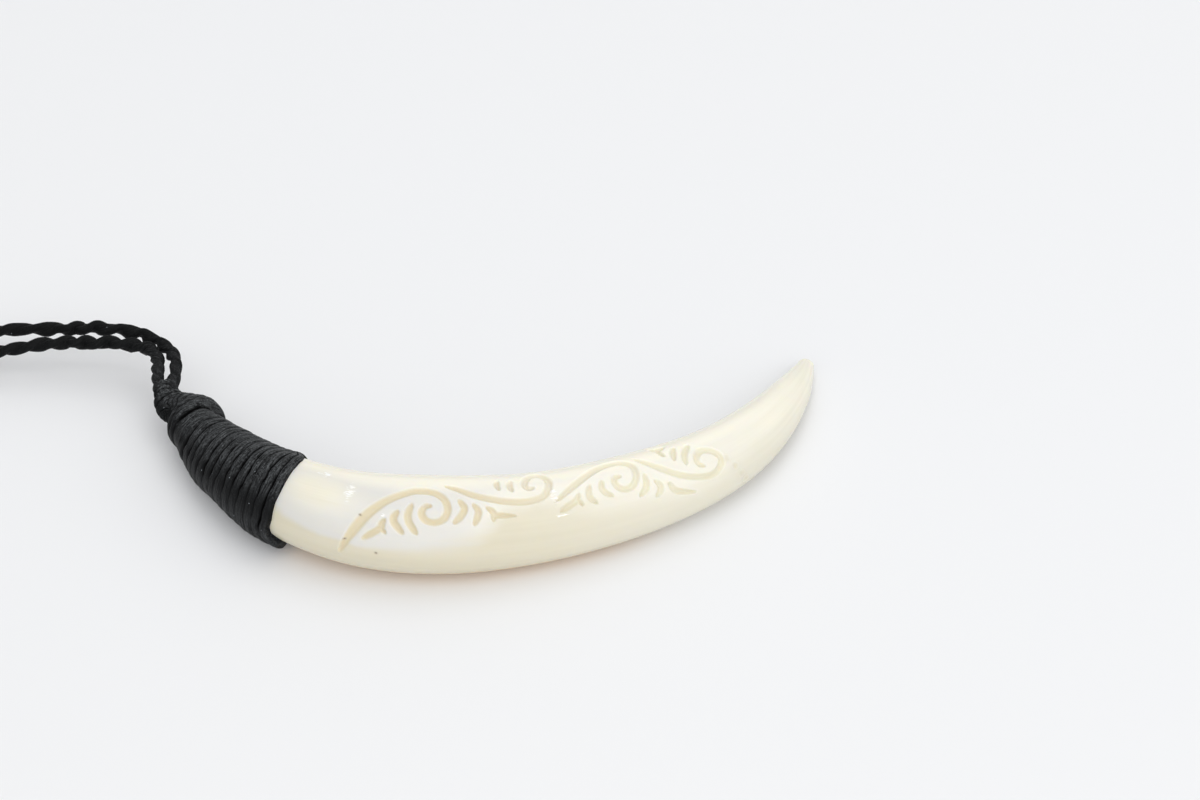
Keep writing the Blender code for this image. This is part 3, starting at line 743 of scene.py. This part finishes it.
def build_tusk():
    """Points, faces, UVs and marks of the carved tusk, closed at both ends."""
    stops = np.concatenate([np.arange(0.0, CARVED_FROM, PLAIN_STEP),
                            np.arange(CARVED_FROM, CARVED_TO, CARVED_STEP),
                            np.arange(CARVED_TO, TUSK_LENGTH, PLAIN_STEP), [TUSK_LENGTH]])
    angles = np.concatenate([np.arange(FACE_FROM, FACE_TO, FACE_STEP),
                             np.arange(FACE_TO, FACE_FROM + 360.0, BACK_STEP)])
    u, angle = np.meshgrid(stops, angles, indexing="ij")
    width, height = radii_at(u)
    v = np.radians(angle - FACE_LINE) * (width + height) / 2
    v = np.where(angle > FACE_LINE + 180, v - 2 * math.pi * (width + height) / 2, v)
    deep, rim = cut_depth(u, v)
    lip = LIP_HEIGHT * np.exp(-((rim - LIP_WIDTH) / LIP_WIDTH) ** 2)
    rings = [tusk_point(u, angle, lip - GROOVE_DEPTH * deep)]
    # The tip closes in ever smaller rings.
    for turn in np.radians(np.arange(15.0, 90.0, 12.0)):
        rings.append(tusk_point(np.full((1, len(angles)), TUSK_LENGTH), angles[None],
                                shrink=math.cos(turn), forward=TIP_ROUND * math.sin(turn)))
    rings = np.concatenate(rings)
    rows, columns = rings.shape[:2]
    extra = rows - len(stops)
    u, v, angle, deep = (np.concatenate([values, np.repeat(values[-1:], extra, axis=0)])
                         for values in (u, v, angle, deep))
    along = np.concatenate([stops, TUSK_LENGTH + 0.2 * np.arange(1, extra + 1)]) * MM
    across = np.radians(np.append(angles, FACE_FROM + 360.0)) * MEAN_RADIUS * MM
    faces, uvs = tube_skin(along, across)
    faces.append([columns - 1 - c for c in range(columns)])
    faces.append([(rows - 1) * columns + c for c in range(columns)])
    uvs = np.concatenate([uvs.reshape(-1, 2), np.zeros((2 * columns, 2))])
    return rings.reshape(-1, 3) * MM, faces, uvs, tusk_marks(u, v, angle, deep)


ivory, tree, shader = new_finish("polished_tusk_finish", {
    "IOR": 1.5, "Subsurface Weight": 0.35, "Subsurface Radius": (1.0, 0.75, 0.4),
    "Subsurface Scale": 0.0015, "Specular IOR Level": 0.4})
where = node(tree, "ShaderNodeTexCoord")
marks = {mark: node(tree, "ShaderNodeAttribute", attribute_name=mark).outputs["Fac"]
         for mark in ("cut", "under", "low", "warm", "scuff", "stain")}


def streaks(along, across, detail):
    """Streaks in the tusk's lay, by their closeness per metre along it and across it."""
    spot = node(tree, "ShaderNodeVectorMath", {0: where.outputs["UV"], 1: (along, across, 1.0)},
                operation="MULTIPLY")
    return noise(tree, spot.outputs["Vector"], 1.0, detail, 0.55)


# Pearl enamel with warmer cream in places, clouded a little.
clouds = noise(tree, where.outputs["Object"], 90.0, 3.0)
growth = streaks(25.0, 500.0, 4.0)
lay = node(tree, "ShaderNodeSeparateXYZ", {"Vector": where.outputs["UV"]})
toward_tip = spread(tree, lay.outputs["X"], 0.055, 0.085, interpolation_type="SMOOTHSTEP")
pearl = blend(tree, clouds, (0.72, 0.71, 0.67), (0.69, 0.682, 0.66))
# The cream is partly the enamel's own colour and partly painted light, pale enough to brighten the
# top.
cream = blend(tree, clouds, (0.965, 0.925, 0.765), (0.96, 0.925, 0.81))
body = blend(tree, marks["warm"], pearl, cream)
# Beige below a wavy edge, painted warm shade underneath, and pale growth lines all along.
wavy = maths(tree, "MULTIPLY_ADD", growth, 1.6, -0.8)
edge = maths(tree, "ADD", marks["low"], wavy)
low = spread(tree, edge, -1.0, 1.0, interpolation_type="SMOOTHSTEP")
beige = blend(tree, toward_tip, (0.675, 0.63, 0.495), (0.71, 0.68, 0.57))
body = blend(tree, low, body, beige)
body = blend(tree, marks["under"], body, UNDERSIDE_PAINTED_SHADE)
body = blend(tree, spread(tree, growth, 0.35, 0.75, most=0.2), body, GROWTH_CREAM)
# Darker floors in the cuts, small stains, and where it is scuffed, fine scratches painted white as
# a painted highlight for their glints.
floor = blend(tree, toward_tip, (0.73, 0.65, 0.465), (0.775, 0.735, 0.56))
body = blend(tree, marks["cut"], body, floor)
body = blend(tree, marks["stain"], body, STAIN_BROWN)
scuffed = maths(tree, "MULTIPLY", streaks(900.0, 3300.0, 2.0), marks["scuff"])
body = blend(tree, spread(tree, scuffed, 0.42, 0.56, most=0.85), body, SCUFF_PAINTED_GLINT)
tree.links.new(body, shader.inputs["Base Color"])
worn = maths(tree, "MULTIPLY_ADD", marks["cut"], 0.4, 0.27)
gloss = maths(tree, "MULTIPLY_ADD", scuffed, -0.15, worn)
tree.links.new(gloss, shader.inputs["Roughness"])
grain = maths(tree, "MULTIPLY_ADD", growth, 0.25, scuffed)
bump = node(tree, "ShaderNodeBump", {"Height": grain, "Strength": 0.35, "Distance": 0.00015})
tree.links.new(bump.outputs["Normal"], shader.inputs["Normal"])
places, faces, uvs, shown = build_tusk()
carved_tusk = add_piece("carved_tusk", places, faces, ivory, uvs, shown)
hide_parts("tusk")
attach(carved_tusk, "root")


# ---- The lashing ----
# One waxed black thread, pressed flat as it was whipped tight over the tusk's root end and
# on round a knob, down to a collar that binds both ends of the neck cord.

# How far from the tusk's root end the lashing's rim is, the pressed thickness of its thread,
# and the gap under it. Along the lashing, w runs from its rim to its collar.
RIM_AT = 25.3
THREAD = 0.62
GAP = 0.3
# The knob and the collar: the x, y and z of their middles, half width, half height and heading.
NECK = [(-47.1, 5.1, 5.1, 4.8, 4.9, 116), (-48.2, 7.2, 5.2, 4.95, 4.9, 113),
        (-49.0, 9.3, 5.2, 4.0, 4.1, 117), (-50.7, 10.9, 5.2, 3.5, 3.2, 126),
        (-52.3, 12.0, 5.4, 3.0, 2.3, 128), (-53.4, 12.9, 6.2, 2.4, 1.8, 115),
        (-53.8, 13.9, 6.8, 2.1, 1.5, 98), (-53.9, 15.0, 7.1, 2.1, 1.5, 90)]
# Each gap between turns: its w, the angles where it opens and shuts, and how deep it is. Where
# it is shut, it is SHUT_GAP deep, and it opens and shuts within OPENING degrees either way.
GAPS = [(0.0, 0, 0, 0.0), (1.5, 90, 195, 0.5), (3.1, 84, 146, 0.5), (4.9, 70, 92, 0.16),
        (6.6, 66, 160, 0.5), (8.3, 80, 153, 0.5), (10.3, 102, 159, 0.45), (12.3, 106, 152, 0.4),
        (13.9, 97, 160, 0.5), (15.8, 110, 168, 0.48), (17.8, 110, 162, 0.4),
        (19.8, 122, 155, 0.4), (21.5, 66, 167, 0.5), (23.7, 115, 205, 0.4), (28.2, 56, 138, 0.6),
        (30.1, 90, 152, 0.4), (32.0, 80, 150, 0.3), (33.8, 90, 170, 0.3), (35.5, 100, 170, 0.3),
        (36.9, 60, 170, 0.3), (38.2, 40, 190, 0.35), (39.7, 30, 200, 0.4), (40.9, 30, 200, 0.4),
        (41.9, 30, 200, 0.3)]
SHUT_GAP = 0.18
OPENING = 8
# How far the rim stands back from its mean place at each angle.
RIM_TRIM = [(0, 3.0), (50, 3.0), (66, 0.4), (75, -0.1), (90, -0.35), (110, -0.35), (130, -0.25),
            (150, 0.0), (175, 0.0), (188, 0.4), (200, 0.4), (212, -0.8), (228, -0.8), (245, 0.0),
            (300, 1.5), (360, 3.0)]
# How much thicker the turns lie along the lower side, by w.
LOW_BULGE = [(0.0, 0.5), (2.0, 0.65), (5.0, 0.8), (9.0, 0.45), (12.0, 0.15), (16.0, 0.15),
             (20.0, 0.5), (24.0, 0.1), (28.0, 0.0)]
# Humps and hollows of the knob: how high, at which w and angle, and how long and wide.
KNOB_HUMPS = [(0.35, 31.2, 62.0, 1.4, 22.0), (-0.5, 28.9, 48.0, 0.9, 25.0),
              (-1.1, 26.8, 36.0, 1.6, 28.0)]
KNOB_AT = 28.2
# The mesh is finer up to the knob's first turns. The collar's end closes in by these steps.
FINE_TO = 29.5
LASH_STEP = 0.08
KNOB_STEP = 0.12
LASH_SIDES = 180
LASH_RADIUS = 6.0
END_SHRINKS = (0.5, 1.0, 1.4)

wrap = GAP + THREAD
width, height = radii_at(0.0)
neck_rows = np.array([(*ROOT_AT, height_at(0.0), width + wrap, height + wrap,
                       spine_turn[0] + math.pi)]
                     + [(*row[:5], math.radians(row[5])) for row in NECK])
neck_places = length_along(neck_rows)


def lash_point(w, angle, proud):
    """Points over the lashing: w runs from its rim, over the root end, to the collar."""
    over_tusk = tusk_point(np.maximum(RIM_AT - w, 0.0), angle, wrap + proud)
    past = np.maximum(w - RIM_AT, 0.0)
    x, y, z, wide, high, turn = [smooth_row(neck_places, neck_rows[:, k], past) for k in range(6)]
    across = (wide + proud) * np.cos(np.radians(angle))
    rise = (high + proud) * np.sin(np.radians(angle))
    over_neck = np.stack([x + np.sin(turn) * across, y - np.cos(turn) * across,
                          np.maximum(z + rise, 0.0)], -1)
    return np.where((w <= RIM_AT)[..., None], over_tusk, over_neck)


def wave(seed, *spans):
    """A smooth seeded wander, of about -1 to 1, over spans given as (values, wavelength)."""
    rng = np.random.default_rng(seed)
    total = 0.0
    for _ in range(5):
        phase = rng.uniform(0, 2 * math.pi)
        for values, wavelength in spans:
            pace = values * (2 * math.pi / wavelength)
            phase = phase + pace * rng.choice([-1, 1]) * rng.uniform(0.6, 1.4)
        total = total + np.sin(phase)
    return total / 3.0


def build_lashing():
    """Points, faces, UVs and marks of the whole lashing."""
    long = RIM_AT + neck_places[-1]
    stops = np.concatenate([np.arange(0.0, FINE_TO, LASH_STEP),
                            np.arange(FINE_TO, long, KNOB_STEP), [long]])
    w, angle = np.meshgrid(stops, np.arange(LASH_SIDES) * 360.0 / LASH_SIDES, indexing="ij")
    trim = np.interp(angle, *zip(*RIM_TRIM)) * (1 - eased(w, 0.0, 5.0))
    # The knob's turns fan out: they are wider apart on its inner side.
    lean = 0.8 * np.cos(np.radians(angle - 30.0)) * (1 - eased(w, 34.0, 38.0))
    fanned = KNOB_AT + (w - KNOB_AT) / np.maximum(1 + lean, 0.5)
    laid = np.where(w > KNOB_AT, fanned, w)
    # How far round the lashing each point is, about.
    around = angle / 57.3 * LASH_RADIUS
    wander = 0.14 * wave(4, (w, 7.0), (around, 9.0)) + 0.09 * wave(6, (w, 2.0), (around, 3.0))
    laid = laid + wander * eased(w, 0.0, 1.5)
    # How many turns lie between each point and the rim. Each turn passes on to the next one on
    # the side away from the eye.
    gap_at, gap_opens, gap_shuts, gap_depth = np.array(GAPS).T
    turns = np.interp(laid, gap_at, np.arange(len(GAPS)))
    hidden = (angle - 215.0) % 360.0
    turns = turns + np.where(hidden <= 180.0, eased(hidden, 0.0, 180.0), 0.0)
    nearest = np.clip(np.round(turns).astype(int), 0, len(GAPS) - 1)
    opens, shuts = gap_opens[nearest], gap_shuts[nearest]
    opened = eased(angle, opens - OPENING, opens + OPENING)
    opened = opened * (1 - eased(angle, shuts - OPENING, shuts + OPENING))
    shut = SHUT_GAP * (1 - 0.5 * eased(angle, 158.0, 180.0))
    uneven = 1 + 0.25 * wave(9, (around, 5.0), (w, 3.0))
    deep = shut + (gap_depth[nearest] - shut) * opened * uneven
    # From 0 in the middle of a turn to 1 in the gap beside it, where the skin falls away.
    beside = 2 * np.abs(turns - np.floor(turns) - 0.5)
    fall = 1.2 * np.maximum(deep, 0.05) * beside ** 5 + 0.10 * beside ** 2
    # Painted shade: how dark each gap is painted, by its depth, on top of the shade its hollow
    # casts.
    gap = np.clip(beside ** 6 * deep / 0.25, 0.0, 1.0)
    strands = (0.015 * wave(21, (turns, 0.45), (around, 10.0))
               + 0.012 * wave(22, (turns, 0.22), (around, 5.0)))
    # Each turn has a height of its own.
    height = np.random.default_rng(5).uniform(-0.07, 0.07, len(GAPS) + 2)
    bulge = height[np.floor(turns).astype(int)] * (1 - beside ** 4)
    for high, *spot in KNOB_HUMPS:
        bulge = bulge + high * blot(w, angle, *spot)
    bulge = bulge - 0.45 * np.exp(-((angle - 66.0) / 20.0) ** 2) * (1 - eased(w, 7.0, 15.0))
    bulge = bulge + 0.5 * blot(w, angle, 37.5, 192.0, 1.8, 28.0)
    bulge = bulge + np.exp(-((angle - 218.0) / 26.0) ** 2) * np.interp(w, *zip(*LOW_BULGE))
    # The rim's edge is rounded over half a millimetre, down to the tusk.
    rim = np.sqrt(1 - np.clip(1 - w / 0.5, 0.0, 1.0) ** 2)
    rings = lash_point(w + trim, angle, (strands + bulge - fall) * rim - (wrap + 0.15) * (1 - rim))
    end = [lash_point(np.full((1, LASH_SIDES), long), angle[:1], -shrink)
           for shrink in END_SHRINKS]
    rings = np.concatenate([rings, *end])
    rows = len(rings)
    along = np.concatenate([stops, long + np.array(END_SHRINKS)]) * MM
    side = 2 * math.pi * LASH_RADIUS * MM / LASH_SIDES
    faces, uvs = tube_skin(along, np.arange(LASH_SIDES + 1) * side)
    # w runs the other way along the tusk than u, so the faces are turned over. The thread
    # runs round the lashing, so its lay does too.
    faces = [[a, d, c, b] for a, b, c, d in faces]
    uvs = uvs[:, [0, 3, 2, 1], ::-1]
    faces.append([(rows - 1) * LASH_SIDES + c for c in range(LASH_SIDES)])
    uvs = np.concatenate([uvs.reshape(-1, 2), np.zeros((LASH_SIDES, 2))])
    gap = np.concatenate([gap, np.zeros((len(END_SHRINKS), LASH_SIDES))])
    # Painted shade: the fibres are painted palest along the top, where the light falls, and fade
    # where the lashing turns down in front, most in a belt at 163 degrees. Along its lower edge
    # they are painted paler again, as a painted reflection of the paper.
    ring = angle[:1]
    dim = 0.72 * (1 - eased(np.cos(np.radians(ring - 80.0)), 0.25, 0.85))
    dim = dim + 0.25 * np.exp(-((ring - 163.0) / 16.0) ** 2)
    dim = dim - 0.25 * eased(ring, 180.0, 202.0) * (1 - eased(ring, 250.0, 290.0))
    dim = np.repeat(dim, rows, axis=0)
    return rings.reshape(-1, 3) * MM, faces, uvs, {"gap": gap, "dim": dim}


places, faces, uvs, shown = build_lashing()
whipped_lashing = add_piece("whipped_lashing", places, faces, thread_black, uvs, shown)
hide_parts("lashing")
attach(whipped_lashing, "root")
